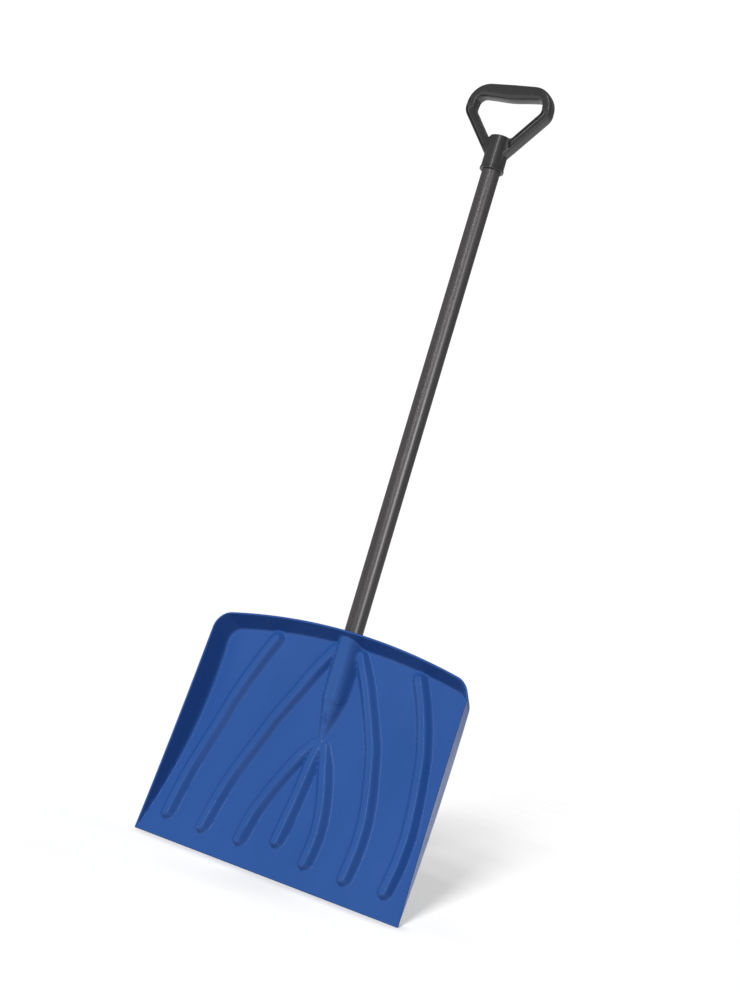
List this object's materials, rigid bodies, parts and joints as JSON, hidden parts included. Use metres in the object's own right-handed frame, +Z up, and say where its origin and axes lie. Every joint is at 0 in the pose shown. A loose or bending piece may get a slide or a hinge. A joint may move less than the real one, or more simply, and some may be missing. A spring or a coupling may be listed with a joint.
{
  "type": "snow shovel",
  "caption": "Snow shovel with a ribbed moulded plastic scoop blade, a straight jacketed steel tube and a closed D-grip.",
  "frame": {"origin": "middle of the blade's bottom edge", "axes": "+Z up along the tube towards the D-grip, X across the blade, the scoop opens towards -Y"},
  "size_m": [0.457, 0.0856, 1.2485],
  "materials": {
    "blade_plastic": "blue moulded polypropylene, soft gloss",
    "jacket_plastic": "dark grey extruded jacket, satin, faint lengthwise streaks",
    "core_steel": "bare steel tube",
    "grip_plastic": "black moulded plastic, soft gloss",
    "screw_steel": "zinc plated steel"
  },
  "bodies": {
    "root": {"blade": "blade_plastic", "shaft_sleeve": "jacket_plastic", "shaft_core": "core_steel", "d_grip": "grip_plastic", "grip_screw": "screw_steel", "socket_screws": "screw_steel"}
  },
  "joints": []
}
